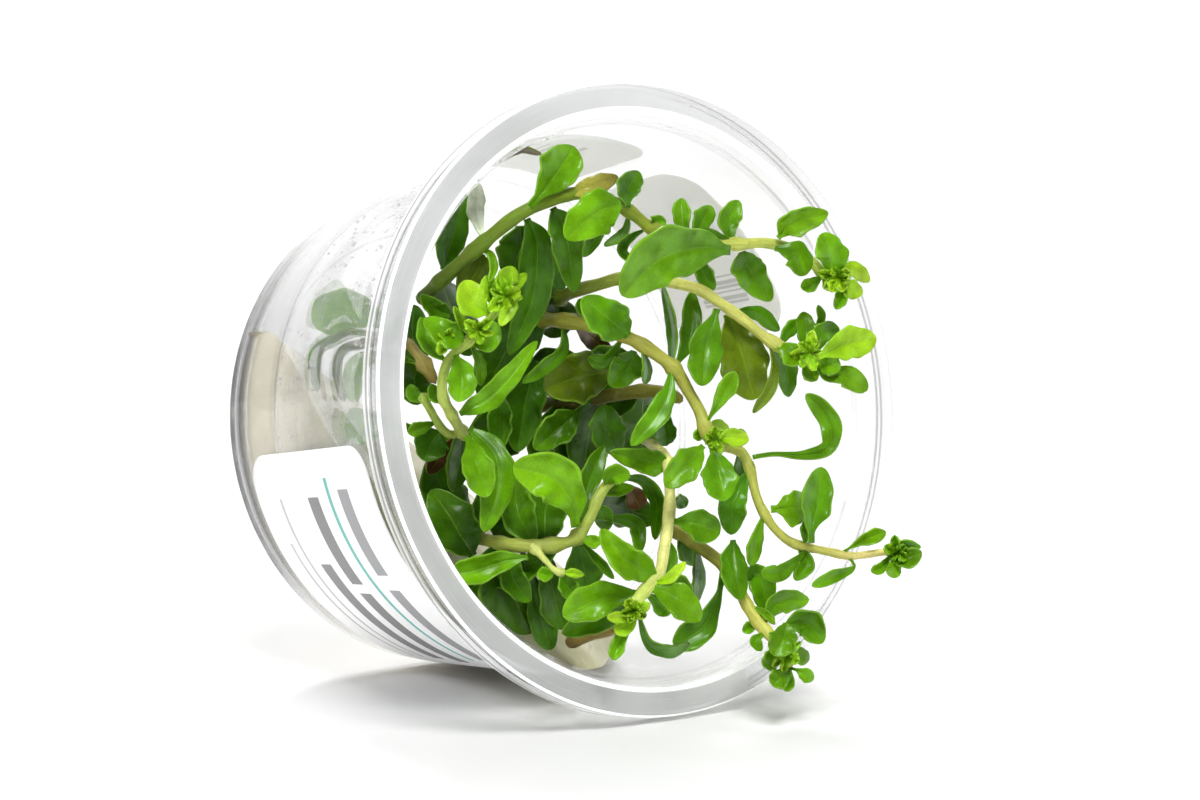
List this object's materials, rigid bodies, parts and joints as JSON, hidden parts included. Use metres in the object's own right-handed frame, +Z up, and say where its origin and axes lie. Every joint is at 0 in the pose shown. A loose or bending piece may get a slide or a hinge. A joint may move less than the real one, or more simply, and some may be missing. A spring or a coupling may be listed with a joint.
{
  "type": "tissue culture aquarium plant in a cup",
  "caption": "Clear plastic culture cup lying on its side, with growing gel in its base, plain labels, and a leafy green stem plant spilling out of its mouth.",
  "frame": {"origin": "on the surface the cup lies on, under the middle of the whole part's box", "axes": "+Z up; the cup's mouth faces -Y with its axis tipped up about 10 degrees toward the mouth; +X across the cup, to the right when looking into the mouth"},
  "size_m": [0.1, 0.0932, 0.0989],
  "materials": {
    "clear_plastic": "clear, glossy, with a faint haze",
    "growing_gel": "cloudy cream gel, standing in for agar",
    "label_paper": "smooth white print stock, plain",
    "leaf_green": "waxy living leaf, semi-gloss",
    "stem_green": "fleshy living stem, semi-gloss",
    "brown_stem": "withered stem, dull"
  },
  "bodies": {
    "root": {"bottom_leaf_dark": "leaf_green", "cup": "clear_plastic", "gel": "growing_gel", "hanging_leaf_long": "leaf_green", "hanging_leaf_right": "leaf_green", "hanging_leaf_round": "leaf_green", "inner_leaf_back": "leaf_green", "inner_leaf_big": "leaf_green", "inner_leaf_dark": "leaf_green", "inner_leaf_deep": "leaf_green", "inner_leaf_long": "leaf_green", "inner_leaf_mid": "leaf_green", "inner_leaf_olive": "leaf_green", "inner_leaf_right": "leaf_green", "inner_leaf_shaded": "leaf_green", "inner_leaf_shine": "leaf_green", "label_front": "label_paper", "label_side": "label_paper", "label_top": "label_paper", "left_leaf_back": "leaf_green", "left_leaf_front": "leaf_green", "left_leaf_high": "leaf_green", "left_leaf_large": "leaf_green", "left_leaf_long": "leaf_green", "left_leaf_low": "leaf_green", "left_leaf_round": "leaf_green", "left_leaf_spoon": "leaf_green", "left_leaf_wide": "leaf_green", "lower_leaf_big": "leaf_green", "lower_leaf_bright": "leaf_green", "lower_leaf_left": "leaf_green", "middle_leaf_curled": "leaf_green", "middle_leaf_down": "leaf_green", "middle_leaf_left": "leaf_green", "middle_leaf_low": "leaf_green", "middle_leaf_wide": "leaf_green", "right_leaf_fan": "leaf_green", "right_leaf_tall": "leaf_green", "root_brown": "brown_stem", "stem_brown": "brown_stem", "stem_dark": "stem_green", "stem_hanging": "stem_green", "stem_left": "stem_green", "stem_lower": "stem_green", "stem_middle": "stem_green", "stem_pale": "stem_green", "stem_top": "stem_green", "stem_upper": "stem_green", "top_leaf_broad": "leaf_green", "top_leaf_curled": "leaf_green", "top_leaf_hanging": "leaf_green", "top_leaf_large": "leaf_green", "top_leaf_right_lower": "leaf_green", "top_leaf_right_upper": "leaf_green", "top_leaf_thin": "leaf_green", "top_leaf_tip": "leaf_green", "top_leaf_twisted": "leaf_green", "upper_leaf_big": "leaf_green", "upper_leaf_front": "leaf_green", "upper_leaf_right": "leaf_green"}
  },
  "joints": []
}
